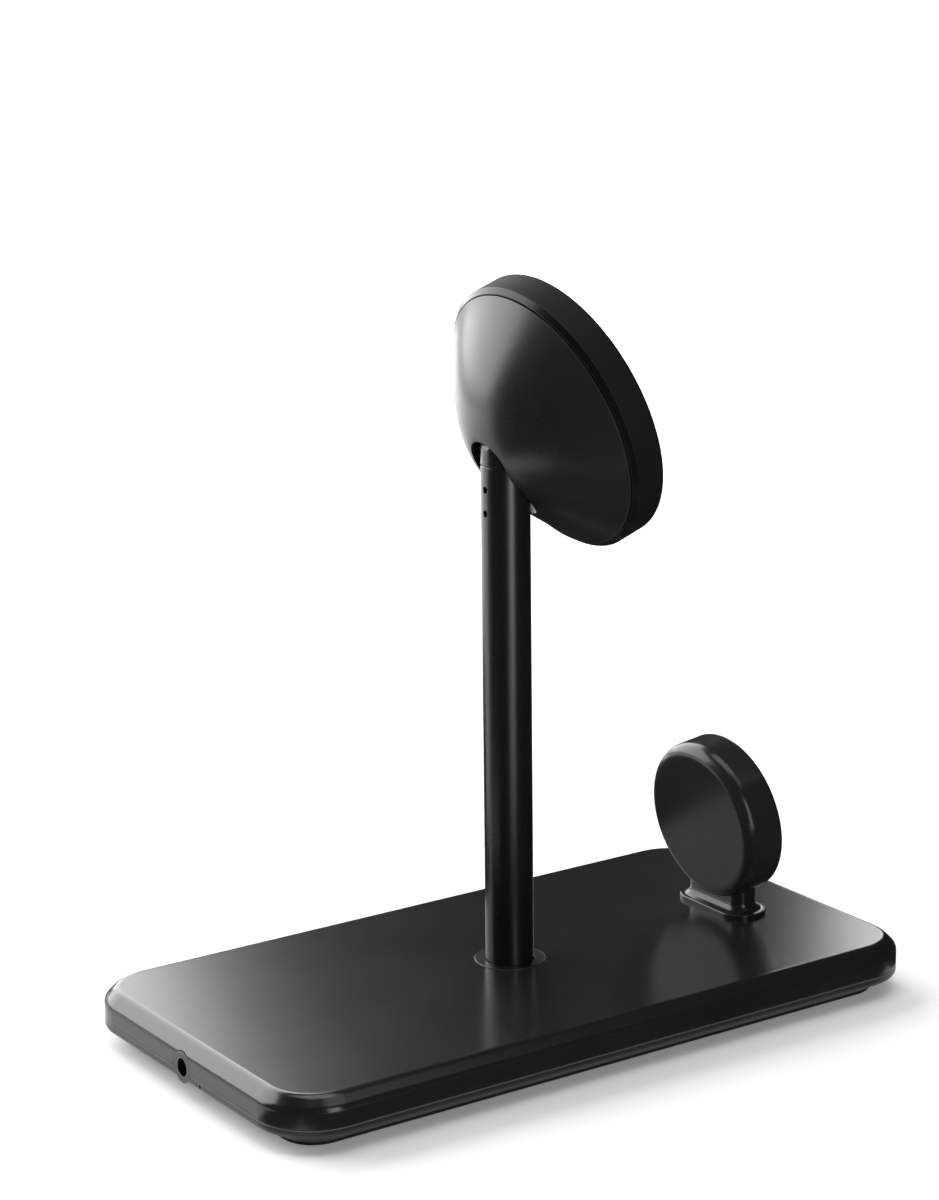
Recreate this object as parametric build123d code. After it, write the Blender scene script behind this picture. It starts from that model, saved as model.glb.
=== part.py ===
from build123d import *
import os
from math import cos, radians, sin, sqrt

# Sizes are in millimetres. Z is up, the front is -Y and the inlet is at the +Y end.

# Base, outside
BASE_LENGTH = 150.0
BASE_WIDTH = 80.0
BASE_CORNER = 12.0
PAD_PROUD = 0.9
PAD_SINK = 0.4
PAD_RIM = 0.5
PLINTH_TALL = 2.3
PLINTH_SET = 2.6
BELLY = 2.2
LIP_TALL = 1.9
LIP_ROUND = 1.1
SEAM_GAP = 0.15
COVER_TALL = 6.1
TOP_BEVEL = 2.3
BEVEL_SOFT = 2.0

# Base, inside
COVER_WALL = 1.8
SHELL_WALL = 1.6
SHELL_FLOOR = 1.6
LAP_HIGH = 1.2
PLATE_THICK = 3.5
PLATE_SET = 0.5
PLATE_BACK_SET = 30.0
CHANNEL_WIDE = 6.4
BASE_SCREW_X_SET = 10.0
BASE_SCREW_Y_SET = 13.0
BOSS_WALL = 1.65
SEAT_WALL = 1.3
SEAT_HIGH = 1.2
BASE_SCREW_R = 1.0
BASE_SCREW_HEAD_R = 2.2
BASE_SCREW_HEAD = 1.3
SCREW_END_GAP = 0.6

# Fits
FIT = 0.1
SCREW_FIT = 0.05
PRESS_FIT = 0.02
RUN_FIT = 0.03
SWING_GAP = 0.35

# Inlet and pinhole in the back end
INLET_RISE = 0.85
INLET_HOLE_R = 1.85
SOCKET_R = 2.1
INLET_BOSS_R = 3.1
INLET_BOSS_DEEP = 3.2
INLET_FOOT_R = 1.2
INLET_BODY_WIDE = 6.4
INLET_BODY_TALL = 5.0
INLET_BODY_LONG = 9.0
INLET_BODY_END = 1.5
INLET_PIN_R = 0.65
INLET_PIN_SINK = 2.5
PINHOLE_X = -6.6
PINHOLE_DROP = 0.9
PINHOLE_R = 0.5
PIPE_SINK = 0.6

# Main board
BOARD_HALF_WIDE = 25.0
BOARD_DEEP = 22.0
BOARD_THICK = 1.0
BOARD_RISE = 0.5
BOARD_SCREW_SET = 3.0
BOARD_SCREW_R = 0.6
BOARD_SCREW_HEAD_R = 1.2
BOARD_SCREW_HEAD = 0.9
BOARD_SCREW_BITE = 0.6
STANDOFF_R = 2.0
LAMP_WIDE = 1.8
LAMP_DEEP = 1.2
LAMP_TALL = 0.8
CHIP_WIDE = 8.0
CHIP_TALL = 1.0
CHIP_X = -11.0
CHIP_SET = 10.0
COIL_WIDE = 7.0
COIL_TALL = 2.6
COIL_X = 9.5
COIL_SET = 7.5
CAN_R = 3.0
CAN_TALL = 3.2
CAN_X = 17.0
CAN_SET = 15.0

# Coil under the top at the back
BACK_COIL_SET = 37.0
BACK_COIL_HOLE_R = 8.0
BACK_COIL_THICK = 1.0
BACK_FERRITE_R = 18.5
BACK_FERRITE_RIM = 1.5
BACK_FERRITE_THICK = 0.8

# Post
POST_Y = -0.6
POST_R = 4.85
POST_WALL = 1.0
POST_EDGE = 0.2
COLLAR_WIDE = 2.15
COLLAR_DEEP = 1.0
COLLAR_PROUD = 0.1
FOOT_SCREW_SET = 3.6
FOOT_WIDE = 7.1
FOOT_SCREW_R = 1.5
FOOT_SCREW_HEAD_R = 2.7
FOOT_SCREW_HEAD = 1.6
SET_HOLE_R = 0.65
SET_HOLE_DROPS = (4.6, 9.3)
SET_SINK = 0.6
SET_LONG = 3.0
SPIGOT_LONG = 15.0
LEAD_R = 0.8
LEAD_BEND = 4.0

# Tilt hinge
HINGE_RISE = 104.0
KNUCKLE_NECK = 2.5
HINGE_DEPTH = 17.2
HINGE_DROP = 1.9
REST_TILT = 20.0
TILT_UP = 4.0
PIN_R = 1.25
SLEEVE_WALL = 0.45
LUG_THICK = 4.2
LUG_HALF_TALL = 4.2
LUG_FLOOR = 3.4
PIN_SEAT = 3.3
CLAMP_THICK = 1.2
CLAMP_SCREW_V = 2.9
CLAMP_SCREW_R = 0.6
CLAMP_SCREW_HEAD_R = 1.2
CLAMP_SCREW_HEAD = 0.9
CLAMP_SCREW_BITE = 3.0

# Tilting puck, measured from its front face
RIM_R = 28.1
RIM_WALL = 1.6
RIM_BACK = 7.6
RIM_BEVEL = 1.0
RIM_FRONT_ROUND = 0.8
PAD_STEP = 0.25
FRONT_PAD_SET = 1.7
FRONT_PAD_THICK = 0.85
RIM_PLATE = 1.0
GROOVE = 0.2
DOME_STEP = 0.3
DOME_RISE = 14.45
DOME_FLANK = 6.0
DOME_FLANK_RISE = 3.9
DOME_CROWN_R = 11.5
DOME_WALL = 1.8
SPIGOT_WALL = 1.4
SLOT_GAP = 0.3
SLOT_END = 2.6
HEAD_ROOF = 3.9
MAGNETS = 18
MAGNET_WIDE = 3.4
MAGNET_THICK = 2.0
MAGNET_GAP = 0.5
PUCK_COIL_HOLE_R = 10.0
PUCK_COIL_THICK = 1.2
PUCK_FERRITE_GAP = 0.9
PUCK_FERRITE_RIM = 0.6
PUCK_FERRITE_THICK = 1.0
PUCK_PLATE_THICK = 1.0
PUCK_BOARD_R = 15.0
PUCK_CHIP_WIDE = 6.0
PUCK_CHIP_TALL = 1.0
PUCK_CHIP_X = -6.0
PUCK_CHIP_V = 5.0
PUCK_CAP_WIDE = 4.5
PUCK_CAP_TALL = 1.4
PUCK_CAP_X = 4.5
PUCK_CAP_V = -6.0

# Front disc on its neck
DISC_R = 16.85
DISC_THICK = 8.75
DISC_BACK_ROUND = 2.75
DISC_FRONT_ROUND = 0.6
DISC_TILT = 7.8
DISC_FRONT_SET = 17.6
DISC_RISE = 20.3
DISC_WALL = 1.8
FACE_THICK = 2.0
FACE_DISH = 0.5
NECK_WIDE = 18.0
NECK_DEEP = 6.0
NECK_TALL = 9.0
NECK_FOOT = 2.2
NECK_FOOT_TALL = 0.9
NECK_LEDGE = 0.5
TENON_WIDE = 14.0
TENON_DEEP = 5.0
TENON_SCREW_X = 4.6
TENON_SCREW_R = 1.0
TENON_SCREW_HEAD_R = 1.9
TENON_SCREW_HEAD = 1.4
WATCH_LEAD_X = 1.9
WATCH_MAGNET_R = 4.6
WATCH_MAGNET_SET = 1.6
WATCH_COIL_THICK = 1.6
WATCH_FERRITE_GAP = 1.85
WATCH_FERRITE_RIM = 1.2
WATCH_FERRITE_THICK = 1.0

# Levels and places that follow from the sizes above
HALF_LONG = BASE_LENGTH / 2
HALF_WIDE = BASE_WIDTH / 2
LIP_Z = PAD_PROUD + PLINTH_TALL
SEAM_Z = LIP_Z + LIP_TALL
BASE_TOP = SEAM_Z + COVER_TALL
CEILING = BASE_TOP - COVER_WALL
FLOOR_TOP = PAD_PROUD + SHELL_FLOOR
PAD_SET = PLINTH_SET + BELLY + PAD_RIM
INSIDE = PLINTH_SET + SHELL_WALL
PLATE_TOP = FLOOR_TOP + PLATE_THICK
PLATE_BACK = HALF_LONG - PLATE_BACK_SET
LEAD_Z = FLOOR_TOP + LEAD_R + FIT
LEAD_Y = POST_Y - POST_R + POST_WALL + LEAD_R + FIT / 2
BOARD_Z = FLOOR_TOP + BOARD_RISE
BOARD_BACK = HALF_LONG - INSIDE - 2 * FIT
BOARD_FRONT = BOARD_BACK - BOARD_DEEP
INLET_Y = HALF_LONG - INLET_BOSS_DEEP
INLET_Z = SEAM_Z + INLET_RISE
PINHOLE_Z = SEAM_Z - PINHOLE_DROP
SEAT_TOP = FLOOR_TOP + SEAT_HIGH
SEAT_R = BASE_SCREW_HEAD_R + FIT + SEAT_WALL
BOSS_R = BASE_SCREW_R + SCREW_FIT + BOSS_WALL
HINGE_Z = BASE_TOP + HINGE_RISE
POST_TOP = HINGE_Z - KNUCKLE_NECK
COLLAR_R = POST_R + FIT + COLLAR_WIDE
FOOT_R = POST_R + SCREW_FIT + FOOT_WIDE
FOOT_RING_R = POST_R + SCREW_FIT + FOOT_SCREW_SET
BACK_COIL_R = BACK_FERRITE_R - BACK_FERRITE_RIM
SLEEVE_R = PIN_R + RUN_FIT + SLEEVE_WALL
BACK_COIL_Y = HALF_LONG - BACK_COIL_SET
DISC_Y = -HALF_LONG + DISC_FRONT_SET
DISC_Z = BASE_TOP + DISC_RISE
NECK_Y = DISC_Y + DISC_THICK / 2 - DISC_R * sin(radians(DISC_TILT))
NECK_SWEEP = NECK_FOOT - NECK_LEDGE
NECK_END = NECK_DEEP / 2 - FIT
SLOT_HALF = POST_R + SLOT_GAP
DOME_Z = RIM_BACK + GROOVE
DOME_R = RIM_R - RIM_BEVEL - DOME_STEP
DOME_FLANK_R = DOME_R - DOME_FLANK
FRONT_PAD_R = RIM_R - FRONT_PAD_SET
CUP_R = RIM_R - RIM_WALL - 2 * FIT
PUCK_FERRITE_R = CUP_R - MAGNET_WIDE - PUCK_FERRITE_GAP
PUCK_COIL_R = PUCK_FERRITE_R - PUCK_FERRITE_RIM
WATCH_FERRITE_R = DISC_R - DISC_WALL - WATCH_FERRITE_GAP
WATCH_COIL_R = WATCH_FERRITE_R - WATCH_FERRITE_RIM
LUG_FACE = HINGE_DEPTH - LUG_FLOOR
PLATE_N = FRONT_PAD_THICK + RIM_PLATE + PUCK_COIL_THICK + PUCK_FERRITE_THICK + FIT
BASE_SCREWS = [
    (side * (HALF_WIDE - BASE_SCREW_X_SET), end * (HALF_LONG - BASE_SCREW_Y_SET))
    for side in (-1, 1)
    for end in (-1, 0, 1)
]
BOARD_SCREWS = [
    (side * (BOARD_HALF_WIDE - BOARD_SCREW_SET), y)
    for side in (-1, 1)
    for y in (BOARD_FRONT + BOARD_SCREW_SET, BOARD_BACK - BOARD_SCREW_SET)
]
FOOT_SCREWS = [
    (FOOT_RING_R * cos(radians(a)), POST_Y + FOOT_RING_R * sin(radians(a)))
    for a in (30, 150, 210, 330)
]

# The puck's own frame: origin in the middle of its front face, Z towards the dome, Y up the puck
LEAN = radians(REST_TILT)
PUCK = Plane(
    origin=(
        0,
        POST_Y + HINGE_DROP * sin(LEAN) - HINGE_DEPTH * cos(LEAN),
        HINGE_Z + HINGE_DROP * cos(LEAN) + HINGE_DEPTH * sin(LEAN),
    ),
    x_dir=(-1, 0, 0),
    z_dir=(0, cos(LEAN), -sin(LEAN)),
).location

# The front disc's frame, made the same way
DISC_LEAN = radians(DISC_TILT)
DISC = Plane(
    origin=(0, DISC_Y, DISC_Z),
    x_dir=(-1, 0, 0),
    z_dir=(0, cos(DISC_LEAN), -sin(DISC_LEAN)),
).location


# Plain shapes used by many pieces
def rod(radius, low, high, x=0, y=0):
    stand = (Align.CENTER, Align.CENTER, Align.MIN)
    return Pos(x, y, low) * Cylinder(radius, high - low, align=stand)


def ring(outer, inner, low, high, x=0, y=0):
    return rod(outer, low, high, x, y) - rod(inner, low - 1, high + 1, x, y)


def rod_y(radius, front, back, x, z):
    return Pos(x, 0, z) * Rot(-90, 0, 0) * rod(radius, front, back)


def rod_x(radius, left, right, y, z):
    return Pos(0, y, z) * Rot(0, 90, 0) * rod(radius, left, right)


def block(left, right, front, back, low, high):
    middle = Pos((left + right) / 2, (front + back) / 2, (low + high) / 2)
    return middle * Box(right - left, back - front, high - low)


def plan_block(inset, low, high):
    wide = BASE_WIDTH - 2 * inset
    long = BASE_LENGTH - 2 * inset
    outline = RectangleRounded(wide, long, BASE_CORNER - inset)
    return Pos(0, 0, low) * extrude(outline, high - low)


def level_edges(body, z):
    return [
        edge
        for edge in body.edges()
        if abs(edge.bounding_box().min.Z - z) < 0.01 and abs(edge.bounding_box().max.Z - z) < 0.01
    ]


def group(pieces):
    return Compound([solid for piece in pieces for solid in piece.solids()])


# A screw standing head down: the head's underside is at low
def screw(x, y, low, head_r, head_tall, shank_r, tip):
    seat = low + head_tall
    body = rod(head_r, low, seat, x, y) + rod(shank_r, seat - 0.1, tip, x, y)
    socket = extrude(RegularPolygon(head_r * 0.45, 6), head_tall * 0.6)
    return body - Pos(x, y, low - 0.01) * socket


# Outline of the raised tongue round the inlet, grown by a gap, as a face in the XZ plane
def tongue_face(gap):
    boss = INLET_BOSS_R + gap
    foot = INLET_FOOT_R - gap
    line = SEAM_Z + gap
    rise = line + foot - INLET_Z
    reach = sqrt((boss + foot) ** 2 - rise**2)
    share = boss / (boss + foot)
    touch_x = reach * share
    touch_z = INLET_Z + rise * share
    half = sqrt(0.5)
    bow = Vector(-half, 0, -half) * foot
    low = SEAM_Z - 0.5
    left_mid = Vector(-reach, 0, line + foot) + Vector(-bow.X, 0, bow.Z)
    right_mid = Vector(reach, 0, line + foot) + bow
    edges = [
        ThreePointArc((-reach, 0, line), left_mid, (-touch_x, 0, touch_z)),
        ThreePointArc((-touch_x, 0, touch_z), (0, 0, INLET_Z + boss), (touch_x, 0, touch_z)),
        ThreePointArc((touch_x, 0, touch_z), right_mid, (reach, 0, line)),
        Polyline((reach, 0, line), (reach, 0, low), (-reach, 0, low), (-reach, 0, line)),
    ]
    return make_face(edges)


def tongue(gap, deep):
    face = Pos(0, HALF_LONG, 0) * tongue_face(gap)
    return extrude(face, deep, dir=(0, -1, 0))


# Base
def base_cover():
    low = SEAM_Z + SEAM_GAP
    body = plan_block(0, low, BASE_TOP)
    body = chamfer(level_edges(body, BASE_TOP), TOP_BEVEL)
    soft = level_edges(body, BASE_TOP) + level_edges(body, BASE_TOP - TOP_BEVEL)
    body = fillet(soft, BEVEL_SOFT)
    hollow = plan_block(COVER_WALL, low - 1, CEILING)
    inner_bevel = TOP_BEVEL - COVER_WALL * (2 - sqrt(2))
    body -= chamfer(level_edges(hollow, CEILING), inner_bevel)
    for x, y in BASE_SCREWS:
        body += rod(BOSS_R, SEAT_TOP + FIT, CEILING + 0.5, x, y)
        body -= rod(BASE_SCREW_R + SCREW_FIT, SEAT_TOP, CEILING - SCREW_END_GAP / 2, x, y)
    body -= tongue(SEAM_GAP, INLET_BOSS_DEEP + 1)
    body -= rod(POST_R + FIT, CEILING - 1, BASE_TOP + 1, 0, POST_Y)
    body -= rod(COLLAR_R + FIT, BASE_TOP - COLLAR_DEEP, BASE_TOP + 1, 0, POST_Y)
    hole = RectangleRounded(TENON_WIDE + 2 * FIT, TENON_DEEP + 2 * FIT, TENON_DEEP / 3)
    return body - Pos(0, NECK_Y, CEILING - 1) * extrude(hole, COVER_WALL + 2)


def base_shell():
    lip = plan_block(0, LIP_Z, SEAM_Z)
    body = fillet(level_edges(lip, LIP_Z), LIP_ROUND)
    plinth = plan_block(PLINTH_SET, PAD_PROUD, LIP_Z + 0.5)
    body += chamfer(level_edges(plinth, PAD_PROUD), BELLY)
    body += plan_block(COVER_WALL + FIT, SEAM_Z - 0.5, SEAM_Z + LAP_HIGH)
    body -= plan_block(INSIDE, FLOOR_TOP, SEAM_Z + LAP_HIGH + 1)
    body -= plan_block(PAD_SET, PAD_PROUD - 1, PAD_PROUD + PAD_SINK)
    body += tongue(0, COVER_WALL + 0.5)
    body += rod_y(INLET_BOSS_R, INLET_Y, HALF_LONG, 0, INLET_Z)
    body -= rod_y(INLET_HOLE_R, INLET_Y - 1, HALF_LONG + 1, 0, INLET_Z)
    body -= rod_y(PINHOLE_R, HALF_LONG - INSIDE - 1, HALF_LONG + 1, PINHOLE_X, PINHOLE_Z)
    half = INLET_BODY_WIDE / 2
    shelf = INLET_Z - INLET_BODY_TALL / 2
    front = INLET_Y - INLET_BODY_LONG
    body += block(-half, half, front, INLET_Y, FLOOR_TOP - 0.2, shelf)
    side = half + FIT
    body -= block(-side, side, front, INLET_Y, shelf, INLET_Z + INLET_BODY_TALL)
    for x, y in BASE_SCREWS:
        body += rod(SEAT_R, FLOOR_TOP - 0.2, SEAT_TOP, x, y)
        body -= rod(BASE_SCREW_HEAD_R + FIT, PAD_PROUD, base_screw_low() + BASE_SCREW_HEAD, x, y)
        body -= rod(BASE_SCREW_R + 2 * FIT, PAD_PROUD, SEAT_TOP + 1, x, y)
    for x, y in BOARD_SCREWS:
        body += rod(STANDOFF_R, FLOOR_TOP - 0.2, BOARD_Z, x, y)
        deep = BOARD_Z - BOARD_RISE - BOARD_SCREW_BITE - FIT
        body -= rod(BOARD_SCREW_R + SCREW_FIT, deep, BOARD_Z + 1, x, y)
    return body


def foot_pad():
    return plan_block(PAD_SET + FIT, 0, PAD_PROUD + PAD_SINK)


def ballast_plate():
    inset = INSIDE + PLATE_SET
    body = plan_block(inset, FLOOR_TOP, PLATE_TOP)
    body -= block(-HALF_WIDE, HALF_WIDE, PLATE_BACK, HALF_LONG, FLOOR_TOP - 1, PLATE_TOP + 1)
    half = CHANNEL_WIDE / 2
    channel_end = NECK_Y - TENON_DEEP / 2
    body -= block(-half, half, channel_end, PLATE_BACK + 1, FLOOR_TOP - 1, PLATE_TOP + 1)
    for x, y in BASE_SCREWS:
        body -= rod(SEAT_R + 4 * FIT, FLOOR_TOP - 1, PLATE_TOP + 1, x, y)
    for x, y in FOOT_SCREWS:
        body -= rod(FOOT_SCREW_R + SCREW_FIT, FLOOR_TOP - 1, PLATE_TOP + 1, x, y)
        body -= rod(FOOT_SCREW_HEAD_R + FIT, FLOOR_TOP - 1, FLOOR_TOP + FOOT_SCREW_HEAD + FIT, x, y)
    for side in (-1, 1):
        x = side * TENON_SCREW_X
        seat = FLOOR_TOP + TENON_SCREW_HEAD + FIT
        body -= rod(TENON_SCREW_R + SCREW_FIT, FLOOR_TOP - 1, PLATE_TOP + 1, x, NECK_Y)
        body -= rod(TENON_SCREW_HEAD_R + FIT, FLOOR_TOP - 1, seat, x, NECK_Y)
    return body


# The heads lie just above the foot pad
def base_screw_low():
    return PAD_PROUD + PAD_SINK + FIT


def base_screws():
    low = base_screw_low()
    tip = CEILING - SCREW_END_GAP
    sizes = (BASE_SCREW_HEAD_R, BASE_SCREW_HEAD, BASE_SCREW_R)
    return group([screw(x, y, low, *sizes, tip) for x, y in BASE_SCREWS])


# The jack hangs in the notch at the board's back edge
def main_board():
    wide = BOARD_HALF_WIDE
    top = BOARD_Z + BOARD_THICK
    body = block(-wide, wide, BOARD_FRONT, BOARD_BACK, BOARD_Z, top)
    notch = INLET_BODY_WIDE / 2 + 2 * FIT
    body -= block(-notch, notch, INLET_Y - INLET_BODY_LONG - 0.3, HALF_LONG, BOARD_Z - 1, top + 1)
    for x, y in BOARD_SCREWS:
        body -= rod(BOARD_SCREW_R + FIT, BOARD_Z - 1, top + 1, x, y)
    lamp_y = BOARD_BACK - LAMP_DEEP / 2 - 4 * FIT
    body += on_board(PINHOLE_X, lamp_y, LAMP_WIDE, LAMP_DEEP, top, LAMP_TALL)
    body += on_board(CHIP_X, BOARD_FRONT + CHIP_SET, CHIP_WIDE, CHIP_WIDE, top, CHIP_TALL)
    body += on_board(COIL_X, BOARD_FRONT + COIL_SET, COIL_WIDE, COIL_WIDE, top, COIL_TALL)
    body += rod(CAN_R, top - FIT, top + CAN_TALL, CAN_X, BOARD_FRONT + CAN_SET)
    return body


# A plain component soldered on a board
def on_board(x, y, wide, deep, top, tall):
    return block(x - wide / 2, x + wide / 2, y - deep / 2, y + deep / 2, top - FIT, top + tall)


def board_screws():
    top = BOARD_Z + BOARD_THICK
    pieces = []
    for x, y in BOARD_SCREWS:
        tip = BOARD_THICK + BOARD_RISE + BOARD_SCREW_BITE
        sizes = (BOARD_SCREW_HEAD_R, BOARD_SCREW_HEAD, BOARD_SCREW_R)
        turned = screw(0, 0, -BOARD_SCREW_HEAD, *sizes, tip)
        pieces.append(Pos(x, y, top) * Rot(180, 0, 0) * turned)
    return group(pieces)


def power_inlet():
    half = INLET_BODY_WIDE / 2
    tall = INLET_BODY_TALL / 2
    back = INLET_Y - PRESS_FIT
    front = back - INLET_BODY_LONG + 2 * FIT
    body = block(-half, half, front, back, INLET_Z - tall, INLET_Z + tall)
    body -= rod_y(SOCKET_R, front + INLET_BODY_END, back + 1, 0, INLET_Z)
    pin_front = front + INLET_BODY_END / 2
    return body + rod_y(INLET_PIN_R, pin_front, back - INLET_PIN_SINK, 0, INLET_Z)


def light_pipe():
    front = HALF_LONG - INSIDE - FIT
    return rod_y(PINHOLE_R - SCREW_FIT, front, HALF_LONG - PIPE_SINK, PINHOLE_X, PINHOLE_Z)


def back_coil():
    top = CEILING - FIT
    return ring(BACK_COIL_R, BACK_COIL_HOLE_R, top - BACK_COIL_THICK, top, 0, BACK_COIL_Y)


def back_ferrite():
    top = CEILING - FIT - BACK_COIL_THICK
    return rod(BACK_FERRITE_R, top - BACK_FERRITE_THICK, top, 0, BACK_COIL_Y)


# Post
def post_collar():
    low = BASE_TOP - COLLAR_DEEP
    body = ring(COLLAR_R, POST_R + FIT, low, BASE_TOP + COLLAR_PROUD, 0, POST_Y)
    return fillet(level_edges(body, BASE_TOP + COLLAR_PROUD), COLLAR_PROUD)


def post_foot():
    body = ring(FOOT_R, POST_R + SCREW_FIT, PLATE_TOP, CEILING - FIT, 0, POST_Y)
    for x, y in FOOT_SCREWS:
        body -= rod(FOOT_SCREW_R + SCREW_FIT, PLATE_TOP - 1, CEILING - SCREW_END_GAP, x, y)
    return body


def post_foot_screws():
    low = FLOOR_TOP + FIT
    tip = CEILING - SCREW_END_GAP - 4 * FIT
    sizes = (FOOT_SCREW_HEAD_R, FOOT_SCREW_HEAD, FOOT_SCREW_R)
    return group([screw(x, y, low, *sizes, tip) for x, y in FOOT_SCREWS])


def post_tube():
    body = ring(POST_R, POST_R - POST_WALL, PLATE_TOP, POST_TOP, 0, POST_Y)
    rim = [edge for edge in level_edges(body, POST_TOP) if edge.radius > POST_R - 0.1]
    body = chamfer(rim, POST_EDGE)
    for drop in SET_HOLE_DROPS:
        body -= rod_y(SET_HOLE_R + SCREW_FIT, POST_Y, POST_Y + 2 * POST_R, 0, POST_TOP - drop)
    return body


# The head's top is rounded about the hinge axis, so that it turns freely in the puck
def hinge_knuckle():
    head = rod(POST_R, POST_TOP, HINGE_Z + 2 * POST_R, 0, POST_Y)
    head = chamfer(level_edges(head, POST_TOP), POST_EDGE)
    reach = 2 * POST_R
    keep = block(-reach, reach, POST_Y - reach, POST_Y + reach, POST_TOP - 1, HINGE_Z)
    head &= keep + rod_x(POST_R, -reach, reach, POST_Y, HINGE_Z)
    spigot = POST_R - POST_WALL - PRESS_FIT
    body = head + rod(spigot, POST_TOP - SPIGOT_LONG, POST_TOP + 0.5, 0, POST_Y)
    body -= rod_x(SLEEVE_R + PRESS_FIT, -reach, reach, POST_Y, HINGE_Z)
    body -= rod(LEAD_R + FIT, POST_TOP - SPIGOT_LONG - 1, HINGE_Z + reach, 0, LEAD_Y)
    for drop in SET_HOLE_DROPS:
        deep = POST_Y + POST_R - SET_SINK - SET_LONG - 0.2
        body -= rod_y(SET_HOLE_R + SCREW_FIT, deep, POST_Y + reach, 0, POST_TOP - drop)
    return body


def set_screws():
    pieces = []
    for drop in SET_HOLE_DROPS:
        back = POST_Y + POST_R - SET_SINK
        body = rod_y(SET_HOLE_R, back - SET_LONG, back, 0, POST_TOP - drop)
        socket = Rot(90, 0, 0) * extrude(RegularPolygon(SET_HOLE_R * 0.55, 6), 0.7)
        pieces.append(body - Pos(0, back + 0.01, POST_TOP - drop) * socket)
    return group(pieces)


def friction_sleeve():
    half = sqrt(POST_R**2 - SLEEVE_R**2) - 2 * FIT
    body = rod_x(SLEEVE_R, -half, half, POST_Y, HINGE_Z)
    return body - rod_x(PIN_R + RUN_FIT, -half - 1, half + 1, POST_Y, HINGE_Z)


# The wires run up the post's front wall and along the channel in the ballast plate
def lead(x, y, top, bend):
    down = Line((x, y, top), (x, y, LEAD_Z + bend))
    mid = Vector(x, y + bend * (1 - sqrt(0.5)), LEAD_Z + bend * (1 - sqrt(0.5)))
    turn = ThreePointArc((x, y, LEAD_Z + bend), mid, (x, y + bend, LEAD_Z))
    away = Line((x, y + bend, LEAD_Z), (x, BOARD_FRONT - FIT, LEAD_Z))
    path = Wire([down, turn, away])
    start = Plane(origin=(x, y, top), z_dir=(0, 0, -1))
    return sweep(start * Circle(LEAD_R), path)


def post_lead():
    return lead(0, LEAD_Y, HINGE_Z + PIN_R, LEAD_BEND)


# Tilt hinge, puck side
def hinge_pin():
    half = SLOT_HALF + PIN_SEAT - FIT
    body = rod_x(PIN_R, -half, half, -HINGE_DROP, HINGE_DEPTH)
    return PUCK * body


# The conical back, drawn as one curve from the rim to the crown and turned round the axis
def dome_solid(wall):
    flank = sqrt((DOME_R - DOME_FLANK_R) ** 2 + DOME_FLANK_RISE**2)
    out = wall * DOME_FLANK_RISE / flank
    down = wall * (DOME_R - DOME_FLANK_R) / flank
    apex = DOME_Z + DOME_RISE - wall
    rim = Vector(DOME_R - out, 0, DOME_Z - down)
    curve = Bezier(
        rim,
        (DOME_FLANK_R - out, 0, DOME_Z + DOME_FLANK_RISE - down),
        (DOME_CROWN_R, 0, apex),
        (0, 0, apex),
    )
    close = Polyline((0, 0, apex), (0, 0, rim.Z), rim)
    return revolve(make_face([curve, close]), Axis.Z)


def hinge_lug(side):
    near = SLOT_HALF - 0.5
    far = SLOT_HALF + LUG_THICK
    left, right = (near, far) if side > 0 else (-far, -near)
    low = -HINGE_DROP - LUG_HALF_TALL
    high = -HINGE_DROP + LUG_HALF_TALL
    body = block(left, right, low, high, LUG_FACE, DOME_Z + DOME_RISE)
    return body & dome_solid(DOME_WALL / 3)


# The slot has a round top end. Its foot hugs the post as it lies with the puck turned fully up
def slot_cutter():
    outline = Circle(SLOT_HALF) + Pos(0, -DOME_R) * Rectangle(2 * SLOT_HALF, 2 * DOME_R)
    slot = Pos(0, -SLOT_END, DOME_Z) * extrude(outline, DOME_RISE * 2)
    lean = radians(REST_TILT - TILT_UP)
    along = Plane(
        origin=(0, -HINGE_DROP, HINGE_DEPTH),
        x_dir=(1, 0, 0),
        z_dir=(0, -cos(lean), sin(lean)),
    ).location
    near = SLOT_HALF + SWING_GAP
    bed = block(-RIM_R, RIM_R, -2 * RIM_R, 0, near, 2 * RIM_R)
    bed -= rod(POST_R + SWING_GAP, near - 1, 2 * RIM_R + 1)
    return slot - along * bed


def puck_dome():
    hollow = dome_solid(DOME_WALL) - rod(RIM_R, 0, DOME_Z)
    body = dome_solid(0) - hollow
    body += ring(CUP_R, CUP_R - SPIGOT_WALL, PLATE_N + PUCK_PLATE_THICK, DOME_Z + FIT)
    for side in (-1, 1):
        body += hinge_lug(side)
    body -= slot_cutter()
    half = SLOT_HALF
    turning = rod_x(POST_R + SWING_GAP, -half, half, -HINGE_DROP, HINGE_DEPTH)
    body -= turning & block(-half, half, -RIM_R, RIM_R, 0, HINGE_DEPTH + HEAD_ROOF)
    seat = half + PIN_SEAT
    grip = PIN_R + PRESS_FIT
    body -= rod_x(grip, -seat, seat, -HINGE_DROP, HINGE_DEPTH)
    body -= block(-seat, seat, -HINGE_DROP - grip, -HINGE_DROP + grip, LUG_FACE - 1, HINGE_DEPTH)
    for x, y in clamp_places():
        deep = LUG_FACE + CLAMP_SCREW_BITE + 4 * FIT
        body -= rod(CLAMP_SCREW_R + SCREW_FIT, LUG_FACE - 1, deep, x, y)
    return PUCK * body


def clamp_places():
    middle = SLOT_HALF + LUG_THICK / 2
    return [
        (side * middle, -HINGE_DROP + end * CLAMP_SCREW_V) for side in (-1, 1) for end in (-1, 1)
    ]


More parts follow.
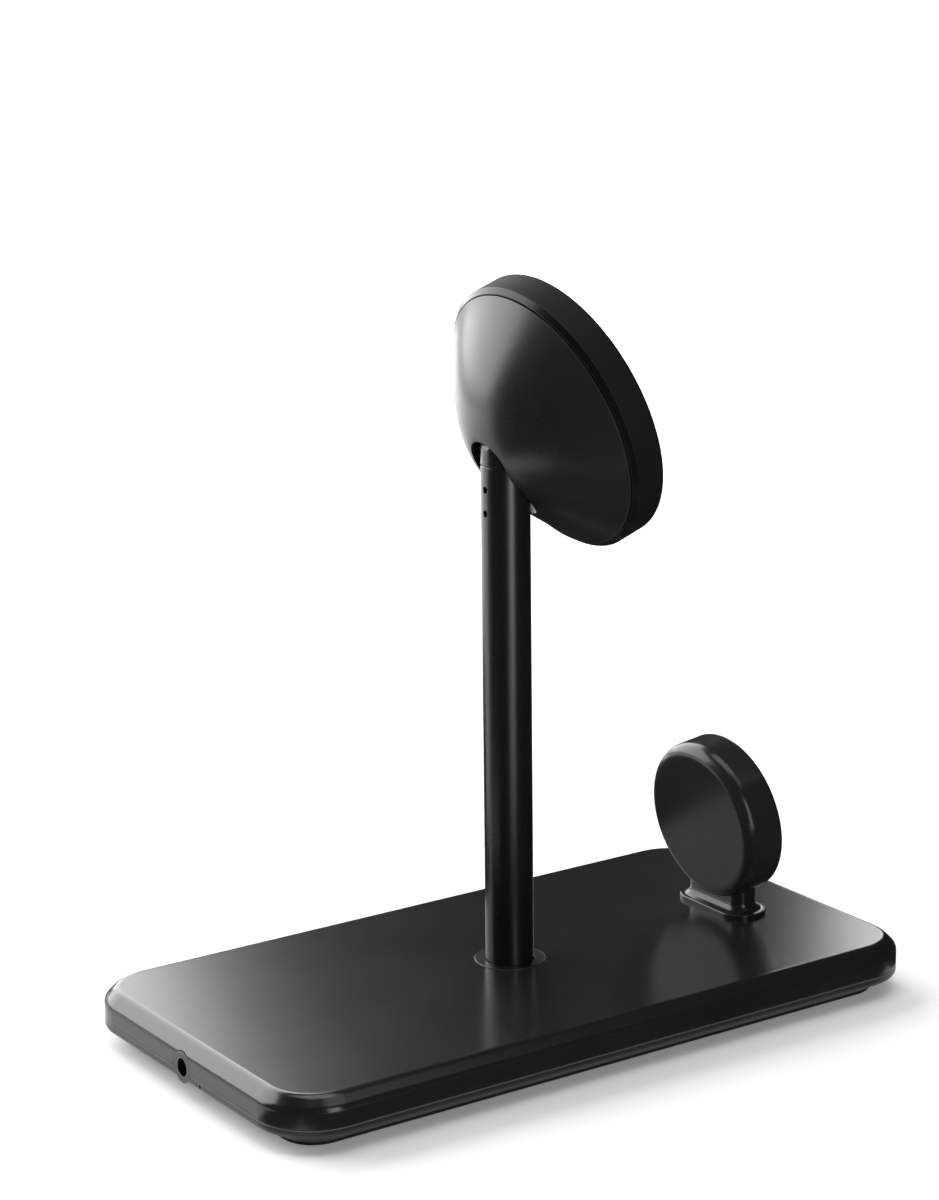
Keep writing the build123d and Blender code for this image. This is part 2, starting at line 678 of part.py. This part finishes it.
def hinge_clamps():
    pieces = []
    for side in (-1, 1):
        near = SLOT_HALF + 2 * FIT
        far = SLOT_HALF + LUG_THICK - FIT
        tall = LUG_HALF_TALL - FIT
        low = LUG_FACE - CLAMP_THICK
        body = block(near, far, -HINGE_DROP - tall, -HINGE_DROP + tall, low, LUG_FACE)
        rib = PIN_R - FIT
        crest = HINGE_DEPTH - PIN_R - PRESS_FIT
        reach = SLOT_HALF + PIN_SEAT - FIT
        body += block(near, reach, -HINGE_DROP - rib, -HINGE_DROP + rib, LUG_FACE - 0.2, crest)
        for x, y in clamp_places():
            body -= rod(CLAMP_SCREW_R + FIT, low - 1, LUG_FACE + 1, abs(x), y)
        pieces.append(body if side > 0 else mirror(body, Plane.YZ))
    return PUCK * group(pieces)


def clamp_screws():
    low = LUG_FACE - CLAMP_THICK - CLAMP_SCREW_HEAD
    tip = LUG_FACE + CLAMP_SCREW_BITE
    sizes = (CLAMP_SCREW_HEAD_R, CLAMP_SCREW_HEAD, CLAMP_SCREW_R)
    return PUCK * group([screw(x, y, low, *sizes, tip) for x, y in clamp_places()])


# Puck, round parts
def puck_rim():
    body = rod(RIM_R, PAD_STEP, RIM_BACK)
    body = chamfer(level_edges(body, RIM_BACK), RIM_BEVEL)
    body = fillet(level_edges(body, PAD_STEP), RIM_FRONT_ROUND)
    body -= rod(FRONT_PAD_R + FIT, PAD_STEP - 1, FRONT_PAD_THICK)
    return PUCK * (body - rod(RIM_R - RIM_WALL, FRONT_PAD_THICK + RIM_PLATE, RIM_BACK + 1))


def front_pad():
    body = rod(FRONT_PAD_R, 0, FRONT_PAD_THICK)
    return PUCK * fillet(level_edges(body, 0), PAD_STEP)


def magnet_ring():
    low = FRONT_PAD_THICK + RIM_PLATE
    body = ring(CUP_R, CUP_R - MAGNET_WIDE, low, low + MAGNET_THICK)
    for turn in range(MAGNETS):
        gap = block(0, RIM_R, -MAGNET_GAP / 2, MAGNET_GAP / 2, low - 1, low + MAGNET_THICK + 1)
        body -= Rot(0, 0, 360 / MAGNETS * turn) * gap
    return PUCK * group([body])


def puck_coil():
    low = FRONT_PAD_THICK + RIM_PLATE
    return PUCK * ring(PUCK_COIL_R, PUCK_COIL_HOLE_R, low, low + PUCK_COIL_THICK)


def puck_ferrite():
    low = FRONT_PAD_THICK + RIM_PLATE + PUCK_COIL_THICK
    return PUCK * rod(PUCK_FERRITE_R, low, low + PUCK_FERRITE_THICK)


def puck_plate():
    return PUCK * rod(CUP_R, PLATE_N, PLATE_N + PUCK_PLATE_THICK)


def puck_board():
    low = PLATE_N + PUCK_PLATE_THICK + FIT
    body = rod(PUCK_BOARD_R, low, low + BOARD_THICK)
    top = low + BOARD_THICK
    chip = PUCK_CHIP_WIDE
    body += on_board(PUCK_CHIP_X, PUCK_CHIP_V, chip, chip, top, PUCK_CHIP_TALL)
    cap = PUCK_CAP_WIDE
    body += on_board(PUCK_CAP_X, PUCK_CAP_V, cap, cap, top, PUCK_CAP_TALL)
    return PUCK * body


# Front disc. Its neck sweeps out into a thin foot that lies on the base
def disc_neck():
    stem = extrude(RectangleRounded(NECK_WIDE, NECK_DEEP, NECK_END), NECK_TALL)
    grow = 2 * NECK_FOOT
    foot = RectangleRounded(NECK_WIDE + grow, NECK_DEEP + grow, NECK_END + NECK_FOOT)
    body = stem + extrude(foot, NECK_FOOT_TALL)
    root = [
        edge
        for edge in level_edges(body, NECK_FOOT_TALL)
        if abs(edge.center().X) < NECK_WIDE / 2 + FIT and abs(edge.center().Y) < NECK_DEEP / 2 + FIT
    ]
    body = fillet(root, NECK_SWEEP)
    return fillet(level_edges(body, NECK_FOOT_TALL), NECK_LEDGE / 2)


def watch_stand():
    cup = rod(DISC_R, 0, DISC_THICK)
    cup = fillet(level_edges(cup, DISC_THICK), DISC_BACK_ROUND)
    cup = fillet(level_edges(cup, 0), DISC_FRONT_ROUND)
    body = DISC * cup
    body += Pos(0, NECK_Y, BASE_TOP) * disc_neck()
    tenon = RectangleRounded(TENON_WIDE, TENON_DEEP, TENON_DEEP / 3)
    body += Pos(0, NECK_Y, PLATE_TOP) * extrude(tenon, BASE_TOP - PLATE_TOP + 0.5)
    body -= DISC * rod(DISC_R - DISC_WALL, -1, DISC_THICK - DISC_WALL)
    body -= rod(LEAD_R + FIT, PLATE_TOP - 1, BASE_TOP + DISC_WALL * 4, WATCH_LEAD_X, NECK_Y)
    for side in (-1, 1):
        x = side * TENON_SCREW_X
        body -= rod(TENON_SCREW_R + SCREW_FIT, PLATE_TOP - 1, BASE_TOP + SCREW_END_GAP / 2, x, NECK_Y)
    return body


def watch_face():
    radius = DISC_R - DISC_WALL - FIT
    body = rod(radius, 0, FACE_THICK)
    edge = radius - 2
    ball = (edge**2 + FACE_DISH**2) / (2 * FACE_DISH)
    body -= Pos(0, 0, FACE_DISH - ball) * Sphere(ball)
    return DISC * body


def watch_magnet():
    return DISC * rod(WATCH_MAGNET_R, FACE_THICK + FIT, DISC_THICK - DISC_WALL - WATCH_MAGNET_SET)


def watch_coil():
    low = FACE_THICK + FIT
    return DISC * ring(WATCH_COIL_R, WATCH_MAGNET_R + 6 * FIT, low, low + WATCH_COIL_THICK)


def watch_ferrite():
    low = FACE_THICK + FIT + WATCH_COIL_THICK
    return DISC * ring(WATCH_FERRITE_R, WATCH_MAGNET_R + 3 * FIT, low, low + WATCH_FERRITE_THICK)


def watch_stand_screws():
    low = FLOOR_TOP + FIT
    sizes = (TENON_SCREW_HEAD_R, TENON_SCREW_HEAD, TENON_SCREW_R)
    places = (-TENON_SCREW_X, TENON_SCREW_X)
    return group([screw(x, NECK_Y, low, *sizes, BASE_TOP - FIT) for x in places])


def watch_lead():
    return lead(WATCH_LEAD_X, NECK_Y, BASE_TOP + NECK_FOOT_TALL + NECK_SWEEP, LEAD_BEND / 2)


NODES = {
    "base_cover": base_cover,
    "base_shell": base_shell,
    "foot_pad": foot_pad,
    "ballast_plate": ballast_plate,
    "base_screws": base_screws,
    "main_board": main_board,
    "board_screws": board_screws,
    "power_inlet": power_inlet,
    "light_pipe": light_pipe,
    "earbuds_coil": back_coil,
    "earbuds_ferrite": back_ferrite,
    "post_collar": post_collar,
    "post_foot": post_foot,
    "post_foot_screws": post_foot_screws,
    "post_tube": post_tube,
    "post_lead": post_lead,
    "hinge_knuckle": hinge_knuckle,
    "set_screws": set_screws,
    "friction_sleeve": friction_sleeve,
    "hinge_pin": hinge_pin,
    "puck_dome": puck_dome,
    "hinge_clamps": hinge_clamps,
    "clamp_screws": clamp_screws,
    "puck_rim": puck_rim,
    "front_pad": front_pad,
    "magnet_ring": magnet_ring,
    "phone_coil": puck_coil,
    "phone_ferrite": puck_ferrite,
    "puck_plate": puck_plate,
    "puck_board": puck_board,
    "watch_stand": watch_stand,
    "watch_face": watch_face,
    "watch_magnet": watch_magnet,
    "watch_coil": watch_coil,
    "watch_ferrite": watch_ferrite,
    "watch_stand_screws": watch_stand_screws,
    "watch_lead": watch_lead,
}

os.makedirs("parts", exist_ok=True)
for node, make in NODES.items():
    export_step(make(), f"parts/{node}.step")
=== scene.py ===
from math import cos, pi, radians, sin

import bpy
from mathutils import Matrix, Vector

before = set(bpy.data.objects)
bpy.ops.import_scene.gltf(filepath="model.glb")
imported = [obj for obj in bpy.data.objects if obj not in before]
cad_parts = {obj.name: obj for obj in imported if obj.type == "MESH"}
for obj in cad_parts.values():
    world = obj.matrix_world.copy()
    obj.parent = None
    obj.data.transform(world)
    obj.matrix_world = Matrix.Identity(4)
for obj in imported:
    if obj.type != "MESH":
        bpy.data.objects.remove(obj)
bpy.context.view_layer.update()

scene = bpy.context.scene
MM = 0.001

# The tilting puck and the front disc lean back, so their patterns need their own frames
PUCK_LEAN = radians(20.0)
PUCK_FACE = Vector((0, -16.113, 122.868)) * MM
DISC_LEAN = radians(7.8)
DISC_FACE = Vector((0, -57.4, 31.5)) * MM
BACK_COIL = Vector((0, 38, 8)) * MM

# The puck rim's bevel is smoother than its wall: its depth behind the face, half the change-over
BEVEL_FROM = 6.6 * MM
BEVEL_BLEND = 0.05 * MM
BEVEL_ROUGH = 0.22

# Rounded normals: samples, radius of the band of edge wear and painted edge highlight, radius of the
# softened edge
EDGE_SAMPLES = 4
WEAR_AND_HIGHLIGHT_WIDTH = 0.35 * MM
SOFT_WIDTH = 0.12 * MM
# Cosine between the true and the rounded normal where the edge wear and painted edge highlight start and
# where they are full
WEAR_AND_HIGHLIGHT_SPAN = (0.995, 0.85)

# Spans of noise that tones and gloss are spread over
SATIN_SPAN = (0.15, 0.85)
RUBBER_SPAN = (0.1, 0.9)
NOISE_SPAN = (0.3, 0.7)
WIRE_SPAN = (0.1, 0.8)
METAL_SPREAD = 0.08

# Colour sockets of the mix node, whose names are shared with its other kinds
MIX_FACTOR, MIX_A, MIX_B, MIX_RESULT = 0, 6, 7, 2

# Camera fitted to the photograph: degrees, metres, and pixels of a frame 1200 tall
CAMERA_YAW, CAMERA_PITCH, CAMERA_ROLL = radians(-34.096), radians(14.261), radians(0.682)
CAMERA_PLACE = Vector((-0.496302, 0.344121, 0.239191))
FOCAL_PIXELS = 3187.0
FRAME_TALL = 1200.0
SENSOR_TALL = 24.0
CLIP_START = 0.01

# Floor: half its side, its grey, and its glow from near to far
FLOOR_HALF = 6.0
FLOOR_GREY = 0.88
GLOW_SPAN = (0.05, 1.05)
GLOW_NEAR, GLOW_FAR = 0.12, 1.0

WORLD_GREY = 0.15

# Tent: the rectangle left for the base, then the reach and height of each ring further out
TENT_SIDES = 120
TENT_GREY = 0.02
TENT_LOW = 0.001
TENT_HALF_WIDE, TENT_HALF_LONG = 0.046, 0.081
TENT_RINGS = ((0.125, TENT_LOW), (0.3, TENT_LOW), (3.0, TENT_LOW), (2.1, 2.4), (0.01, 2.7))
# Compass angles left open in the strip inside each of the first rings
TENT_OPEN = (((45, 104),), ((22, 58), (155, 195)), ((-33, 58), (155, 195)))

# Lamps: compass angle from +X, height angle, distance, width, height, brightness
LAMP_AIM = Vector((0, 0, 0.06))
LAMPS = (
    ("key", 16.4, 27, 1.0, 1.62, 0.93, 5.0),
    ("corner", -50, 18, 0.9, 0.14, 0.3, 4.5),
    ("over", 205, 62, 1.0, 0.5, 0.45, 1.3),
    ("top", 0, 89, 1.2, 0.8, 0.8, 2.6),
    ("strip", 173, 8, 0.3, 0.09, 0.2, 3.6),
)


# Small helpers for node trees
def new_material(name):
    mat = bpy.data.materials.new(name)
    mat.use_nodes = True
    tree = mat.node_tree
    return mat, tree, tree.nodes["Principled BSDF"]


def add(tree, kind, **values):
    node = tree.nodes.new(kind)
    for key, value in values.items():
        if key in node.inputs:
            node.inputs[key].default_value = value
        else:
            setattr(node, key, value)
    return node


def put(node, values):
    for key, value in values.items():
        node.inputs[key].default_value = value


def plug(tree, shader, sources):
    for key, source in sources.items():
        tree.links.new(source, shader.inputs[key])


# Colour that runs from dark to light over a span of a value
def ramp(tree, source, span, dark, light):
    node = add(tree, "ShaderNodeValToRGB")
    for element, place, colour in zip(node.color_ramp.elements, span, (dark, light)):
        element.position = place
        element.color = (*colour, 1.0)
    tree.links.new(source, node.inputs["Fac"])
    return node.outputs["Color"]


# Number that runs from low to high over a span of a value
def remap(tree, source, span, low, high):
    node = add(tree, "ShaderNodeMapRange")
    put(node, {"From Min": span[0], "From Max": span[1], "To Min": low, "To Max": high})
    tree.links.new(source, node.inputs["Value"])
    return node.outputs["Result"]


def noise(tree, where, scale, detail=2.0, rough=0.5):
    node = add(tree, "ShaderNodeTexNoise", Scale=scale, Detail=detail, Roughness=rough)
    tree.links.new(where, node.inputs["Vector"])
    return node.outputs["Fac"]


def bump(tree, height, depth, strength, normal=None):
    node = add(tree, "ShaderNodeBump", Strength=strength, Distance=depth)
    tree.links.new(height, node.inputs["Height"])
    if normal is not None:
        tree.links.new(normal, node.inputs["Normal"])
    return node.outputs["Normal"]


# Math node over two sources
def combine(tree, operation, a, b):
    node = add(tree, "ShaderNodeMath", operation=operation)
    tree.links.new(a, node.inputs[0])
    tree.links.new(b, node.inputs[1])
    return node.outputs[0]


def object_place(tree):
    return add(tree, "ShaderNodeTexCoord").outputs["Object"]


# Coordinates counted from a point
def shifted_place(tree, origin):
    shift = add(tree, "ShaderNodeVectorMath", operation="SUBTRACT")
    shift.inputs[1].default_value = origin
    tree.links.new(object_place(tree), shift.inputs[0])
    return shift.outputs["Vector"]


# Coordinates turned so that Z runs along a leaning axis through a point
def turned_place(tree, origin, lean):
    turn = add(tree, "ShaderNodeMapping", Rotation=(pi / 2 + lean, 0.0, 0.0))
    tree.links.new(shifted_place(tree, origin), turn.inputs["Vector"])
    return turn.outputs["Vector"]


def rounded_normal(tree, radius):
    return add(tree, "ShaderNodeBevel", samples=EDGE_SAMPLES, Radius=radius).outputs["Normal"]


# Paints an edge tone along outside and inside edges, found from how far a rounded normal turns: slight
# wear on most parts, and a painted highlight on the lower shell's edges
def edge_wear_and_highlight(tree, tone, wear_and_highlight):
    dot = add(tree, "ShaderNodeVectorMath", operation="DOT_PRODUCT")
    tree.links.new(rounded_normal(tree, WEAR_AND_HIGHLIGHT_WIDTH), dot.inputs[0])
    tree.links.new(add(tree, "ShaderNodeNewGeometry").outputs["Normal"], dot.inputs[1])
    mix = add(tree, "ShaderNodeMix", data_type="RGBA")
    tree.links.new(remap(tree, dot.outputs["Value"], WEAR_AND_HIGHLIGHT_SPAN, 0.0, 1.0), mix.inputs[MIX_FACTOR])
    tree.links.new(tone, mix.inputs[MIX_A])
    mix.inputs[MIX_B].default_value = (*wear_and_highlight, 1.0)
    return mix.outputs[MIX_RESULT]


# Smooths the puck's surface behind the start of its bevel
def polish(tree, gloss, rough):
    along = add(tree, "ShaderNodeSeparateXYZ")
    tree.links.new(turned_place(tree, PUCK_FACE, PUCK_LEAN), along.inputs[0])
    span = (BEVEL_FROM - BEVEL_BLEND, BEVEL_FROM + BEVEL_BLEND)
    change = remap(tree, along.outputs["Z"], span, 0.0, BEVEL_ROUGH - rough)
    return combine(tree, "ADD", gloss, change)


# Fine-grained black: a slow drift of tone and gloss, a fine grain, softened edges with a lighter edge tone
# that is slight wear on most parts and a painted highlight on the lower shell
def satin(name, dark, light, wear_and_highlight, rough, spread, grain, depth, specular, bevel=False):
    mat, tree, shader = new_material(name)
    where = object_place(tree)
    drift = noise(tree, where, scale=70.0, detail=3.0)
    grit = noise(tree, where, scale=grain, detail=3.0, rough=0.6)
    gloss = remap(tree, drift, SATIN_SPAN, rough - spread, rough + spread)
    plug(tree, shader, {
        "Base Color": edge_wear_and_highlight(tree, ramp(tree, drift, SATIN_SPAN, dark, light), wear_and_highlight),
        "Roughness": polish(tree, gloss, rough) if bevel else gloss,
        "Normal": bump(tree, grit, depth, strength=1.0, normal=rounded_normal(tree, SOFT_WIDTH)),
    })
    put(shader, {"Specular IOR Level": specular})
    return mat


# Soft rubber: dull, with a fine leathery grain
def rubber(name, dark, light):
    mat, tree, shader = new_material(name)
    where = object_place(tree)
    cells = add(tree, "ShaderNodeTexVoronoi", Scale=1400.0)
    tree.links.new(where, cells.inputs["Vector"])
    drift = noise(tree, where, scale=260.0, detail=4.0, rough=0.6)
    plug(tree, shader, {
        "Base Color": ramp(tree, drift, RUBBER_SPAN, dark, light),
        "Roughness": remap(tree, drift, RUBBER_SPAN, low=0.64, high=0.78),
        "Normal": bump(tree, cells.outputs["Distance"], depth=0.02 * MM, strength=0.6),
    })
    put(shader, {"Specular IOR Level": 0.25})
    return mat


# Bare metal, with drawn scratches where the grain is stretched along one axis
def metal(name, dark, light, rough, stretch=(1.0, 1.0, 1.0)):
    mat, tree, shader = new_material(name)
    scaled = add(tree, "ShaderNodeMapping", Scale=stretch)
    tree.links.new(object_place(tree), scaled.inputs["Vector"])
    streak = noise(tree, scaled.outputs["Vector"], scale=900.0, detail=4.0, rough=0.65)
    plug(tree, shader, {
        "Base Color": ramp(tree, streak, NOISE_SPAN, dark, light),
        "Roughness": remap(tree, streak, NOISE_SPAN, rough - METAL_SPREAD, rough + METAL_SPREAD),
        "Normal": bump(tree, streak, depth=0.01 * MM, strength=0.4),
    })
    put(shader, {"Metallic": 1.0})
    return mat


# Wound wire: fine rings round the coil's axis, one to each step of the pitch
def winding(name, origin, lean, pitch):
    mat, tree, shader = new_material(name)
    where = shifted_place(tree, origin) if lean is None else turned_place(tree, origin, lean)
    wave = add(tree, "ShaderNodeTexWave", wave_type="RINGS", rings_direction="Z",
               Scale=pi / 10 / pitch, Distortion=0.4)
    tree.links.new(where, wave.inputs["Vector"])
    rings = wave.outputs["Fac"]
    plug(tree, shader, {
        "Base Color": ramp(tree, rings, WIRE_SPAN, dark=(0.16, 0.05, 0.025), light=(0.74, 0.34, 0.17)),
        "Roughness": remap(tree, rings, (0.0, 1.0), low=0.42, high=0.24),
        "Normal": bump(tree, rings, depth=0.08 * MM, strength=0.8),
    })
    put(shader, {"Metallic": 0.85})
    return mat


# Circuit board: green mask with a faint net of tracks
def board(name):
    mat, tree, shader = new_material(name)
    where = object_place(tree)
    tracks = add(tree, "ShaderNodeTexBrick", Scale=260.0)
    put(tracks, {
        "Mortar Size": 0.035,
        "Color1": (0.012, 0.07, 0.03, 1.0),
        "Color2": (0.016, 0.085, 0.036, 1.0),
        "Mortar": (0.05, 0.2, 0.09, 1.0),
    })
    tree.links.new(where, tracks.inputs["Vector"])
    plug(tree, shader, {
        "Base Color": tracks.outputs["Color"],
        "Roughness": remap(tree, noise(tree, where, scale=300.0), NOISE_SPAN, low=0.22, high=0.36),
        "Normal": bump(tree, tracks.outputs["Fac"], depth=0.02 * MM, strength=0.5),
    })
    return mat


# Sintered ceramic: dark grey with pores
def ferrite(name):
    mat, tree, shader = new_material(name)
    pores = noise(tree, object_place(tree), scale=2600.0, detail=4.0, rough=0.7)
    plug(tree, shader, {
        "Base Color": ramp(tree, pores, NOISE_SPAN, dark=(0.03, 0.03, 0.033), light=(0.09, 0.09, 0.095)),
        "Roughness": remap(tree, pores, NOISE_SPAN, low=0.5, high=0.75),
        "Normal": bump(tree, pores, depth=0.02 * MM, strength=0.5),
    })
    return mat


# Clear moulding with a slight haze
def clear(name):
    mat, tree, shader = new_material(name)
    haze = noise(tree, object_place(tree), scale=1500.0, detail=3.0)
    plug(tree, shader, {
        "Base Color": ramp(tree, haze, NOISE_SPAN, dark=(0.72, 0.76, 0.78), light=(0.8, 0.83, 0.85)),
        "Roughness": remap(tree, haze, NOISE_SPAN, low=0.08, high=0.2),
    })
    put(shader, {"Transmission Weight": 0.9, "IOR": 1.49})
    return mat


def dress(mat, *names):
    for name in names:
        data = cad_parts[name].data
        if data.materials:
            for index in range(len(data.materials)):
                data.materials[index] = mat
        else:
            data.materials.append(mat)


def dress_blacks():
    dress(satin("satin_black", dark=(0.0092, 0.0092, 0.0095), light=(0.0118, 0.0118, 0.0121),
                wear_and_highlight=(0.02, 0.02, 0.0206), rough=0.2, spread=0.012,
                grain=5200.0, depth=0.005 * MM, specular=0.5), "base_cover")
    # The lower shell's pale edge tone is a painted highlight on its edges, which draws the pale seam line
    # along the lit lip
    dress(satin("shell_black", dark=(0.006, 0.006, 0.0063), light=(0.009, 0.009, 0.0094),
                wear_and_highlight=(0.22, 0.22, 0.224), rough=0.36, spread=0.04,
                grain=4200.0, depth=0.008 * MM, specular=0.5), "base_shell")
    dress(satin("coated_black", dark=(0.005, 0.005, 0.0052), light=(0.0068, 0.0068, 0.007),
                wear_and_highlight=(0.016, 0.016, 0.0166), rough=0.28, spread=0.015,
                grain=6800.0, depth=0.005 * MM, specular=0.5), "post_collar", "post_tube", "hinge_knuckle")
    dress(satin("dome_black", dark=(0.0088, 0.0088, 0.0091), light=(0.0112, 0.0112, 0.0115),
                wear_and_highlight=(0.02, 0.02, 0.0206), rough=0.28, spread=0.015,
                grain=6800.0, depth=0.005 * MM, specular=0.5), "puck_dome")
    dress(satin("moulded_black", dark=(0.0125, 0.0125, 0.0128), light=(0.0155, 0.0155, 0.0159),
                wear_and_highlight=(0.022, 0.022, 0.0226), rough=0.22, spread=0.015,
                grain=3600.0, depth=0.006 * MM, specular=0.36), "watch_stand")
    dress(satin("matt_black", dark=(0.0032, 0.0032, 0.0033), light=(0.0046, 0.0046, 0.0048),
                wear_and_highlight=(0.014, 0.014, 0.0145), rough=0.7, spread=0.03,
                grain=3000.0, depth=0.012 * MM, specular=0.25, bevel=True), "puck_rim")
    dress(satin("face_black", dark=(0.012, 0.012, 0.0125), light=(0.017, 0.017, 0.0176),
                wear_and_highlight=(0.03, 0.03, 0.031), rough=0.32, spread=0.03,
                grain=4200.0, depth=0.005 * MM, specular=0.4), "watch_face")
    dress(satin("socket_black", dark=(0.006, 0.006, 0.006), light=(0.01, 0.01, 0.01),
                wear_and_highlight=(0.02, 0.02, 0.02), rough=0.34, spread=0.04,
                grain=3000.0, depth=0.01 * MM, specular=0.4), "power_inlet")
    dress(satin("jacket_black", dark=(0.012, 0.012, 0.012), light=(0.018, 0.018, 0.018),
                wear_and_highlight=(0.02, 0.02, 0.02), rough=0.5, spread=0.05,
                grain=2600.0, depth=0.02 * MM, specular=0.3), "post_lead", "watch_lead")
    dress(rubber("foot_rubber", dark=(0.01, 0.01, 0.0104), light=(0.016, 0.016, 0.0165)), "foot_pad")
    dress(rubber("pad_rubber", dark=(0.012, 0.012, 0.0125), light=(0.018, 0.018, 0.0187)), "front_pad")


def dress_metals():
    dress(metal("plain_steel", dark=(0.4, 0.4, 0.41), light=(0.58, 0.58, 0.59), rough=0.34,
                stretch=(1.0, 0.12, 1.0)),
          "ballast_plate", "base_screws", "board_screws", "post_foot", "post_foot_screws",
          "hinge_pin", "hinge_clamps", "clamp_screws", "puck_plate", "watch_stand_screws")
    dress(metal("dark_steel", dark=(0.05, 0.05, 0.052), light=(0.1, 0.1, 0.104), rough=0.4), "set_screws")
    dress(metal("bronze", dark=(0.42, 0.27, 0.13), light=(0.58, 0.4, 0.2), rough=0.36,
                stretch=(0.15, 1.0, 1.0)), "friction_sleeve")
    dress(metal("nickel", dark=(0.55, 0.54, 0.52), light=(0.7, 0.69, 0.67), rough=0.2),
          "magnet_ring", "watch_magnet")


def dress_inside():
    dress(winding("back_winding", BACK_COIL, lean=None, pitch=0.6 * MM), "earbuds_coil")
    dress(winding("puck_winding", PUCK_FACE, PUCK_LEAN, pitch=0.6 * MM), "phone_coil")
    dress(winding("disc_winding", DISC_FACE, DISC_LEAN, pitch=0.5 * MM), "watch_coil")
    dress(ferrite("ferrite_grey"), "earbuds_ferrite", "phone_ferrite", "watch_ferrite")
    dress(board("board_green"), "main_board", "puck_board")
    dress(clear("clear_pipe"), "light_pipe")


def make_camera():
    yaw, pitch, roll = CAMERA_YAW, CAMERA_PITCH, CAMERA_ROLL
    forward = Vector((cos(yaw) * cos(pitch), sin(yaw) * cos(pitch), -sin(pitch)))
    right = Vector((sin(yaw), -cos(yaw), 0.0))
    down = forward.cross(right)
    right, down = right * cos(roll) + down * sin(roll), down * cos(roll) - right * sin(roll)
    data = bpy.data.cameras.new("camera")
    data.sensor_fit = "VERTICAL"
    data.sensor_height = SENSOR_TALL
    data.lens = FOCAL_PIXELS / FRAME_TALL * SENSOR_TALL
    data.clip_start = CLIP_START
    camera = bpy.data.objects.new("camera", data)
    place = Matrix((right, -down, -forward)).transposed().to_4x4()
    place.translation = CAMERA_PLACE
    camera.matrix_world = place
    scene.collection.objects.link(camera)
    scene.camera = camera


# A lamp panel at a compass angle and a height angle, turned to the middle of the object
def softbox(name, azimuth, elevation, distance, width, height, level):
    a, e = radians(azimuth), radians(elevation)
    away = Vector((cos(a) * cos(e), sin(a) * cos(e), sin(e)))
    data = bpy.data.lights.new(name, "AREA")
    data.shape = "RECTANGLE"
    data.size = width
    data.size_y = height
    data.energy = level * pi * width * height
    lamp = bpy.data.objects.new(name, data)
    lamp.matrix_world = away.to_track_quat("Z", "Y").to_matrix().to_4x4()
    lamp.matrix_world.translation = LAMP_AIM + away * distance
    lamp.visible_camera = False
    scene.collection.objects.link(lamp)


def grey(level):
    return (level, level, level, 1.0)


def stage_object(name, verts, faces, mat):
    mesh = bpy.data.meshes.new(name)
    mesh.from_pydata(verts, [], faces)
    mesh.materials.append(mat)
    thing = bpy.data.objects.new(name, mesh)
    scene.collection.objects.link(thing)
    return thing


# A pale floor, white from the lamps near the object and from a slow glow further out
def make_floor():
    mat, tree, shader = new_material("floor")
    tree.nodes.remove(shader)
    cover = add(tree, "ShaderNodeBsdfDiffuse", Color=grey(FLOOR_GREY))
    far = add(tree, "ShaderNodeVectorMath", operation="LENGTH")
    tree.links.new(object_place(tree), far.inputs[0])
    glow = add(tree, "ShaderNodeEmission")
    strength = remap(tree, far.outputs["Value"], GLOW_SPAN, GLOW_NEAR, GLOW_FAR)
    tree.links.new(strength, glow.inputs["Strength"])
    lit = add(tree, "ShaderNodeAddShader")
    tree.links.new(cover.outputs[0], lit.inputs[0])
    tree.links.new(glow.outputs[0], lit.inputs[1])
    tree.links.new(lit.outputs[0], tree.nodes["Material Output"].inputs["Surface"])
    half = FLOOR_HALF
    corners = [(-half, -half, 0), (half, -half, 0), (half, half, 0), (-half, half, 0)]
    floor = stage_object("floor", corners, [(0, 1, 2, 3)], mat)


# White where it is seen, straight, mirrored or through clear parts, and a low grey light elsewhere
def make_world():
    world = bpy.data.worlds.new("world")
    scene.world = world
    world.use_nodes = True
    tree = world.node_tree
    path = add(tree, "ShaderNodeLightPath")
    seen = path.outputs["Is Camera Ray"]
    for kind in ("Is Glossy Ray", "Is Transmission Ray"):
        seen = combine(tree, "MAXIMUM", seen, path.outputs[kind])
    back = tree.nodes["Background"]
    put(back, {"Color": grey(WORLD_GREY)})
    white = add(tree, "ShaderNodeBackground", Color=grey(1.0))
    pick = add(tree, "ShaderNodeMixShader")
    for socket, source in zip(pick.inputs, (seen, back.outputs[0], white.outputs[0])):
        tree.links.new(source, socket)
    tree.links.new(pick.outputs[0], tree.nodes["World Output"].inputs["Surface"])


# Black cloth that only reflections see: a sheet round the base, open toward some sides, and a tent over it
def make_tent():
    count = TENT_SIDES
    turns = [2 * pi * (i + 0.5) / count for i in range(count)]
    reaches = [min(TENT_HALF_WIDE / abs(cos(turn)), TENT_HALF_LONG / abs(sin(turn))) for turn in turns]
    rows = [[(reach, TENT_LOW) for reach in reaches]]
    rows += [[ring] * count for ring in TENT_RINGS]
    verts = [(reach * cos(turn), reach * sin(turn), level)
             for row in rows for turn, (reach, level) in zip(turns, row)]
    faces = []
    for row in range(len(TENT_RINGS)):
        gaps = TENT_OPEN[row] if row < len(TENT_OPEN) else ()
        inner, outer = row * count, (row + 1) * count
        for i in range(count):
            side = (i + 1) * 360 / count
            side -= 360 if side > 180 else 0
            j = (i + 1) % count
            if not any(low < side < high for low, high in gaps):
                faces.append((inner + i, inner + j, outer + j, outer + i))
    mat, _, shader = new_material("tent")
    put(shader, {"Base Color": grey(TENT_GREY), "Roughness": 1.0, "Specular IOR Level": 0.0})
    tent = stage_object("tent", verts, faces, mat)
    tent.visible_camera = False
    tent.visible_diffuse = False
    tent.visible_shadow = False
    tent.visible_transmission = False


dress_blacks()
dress_metals()
dress_inside()
make_camera()
make_floor()
make_world()
make_tent()
for lamp in LAMPS:
    softbox(*lamp)

scene.view_settings.view_transform = "Standard"
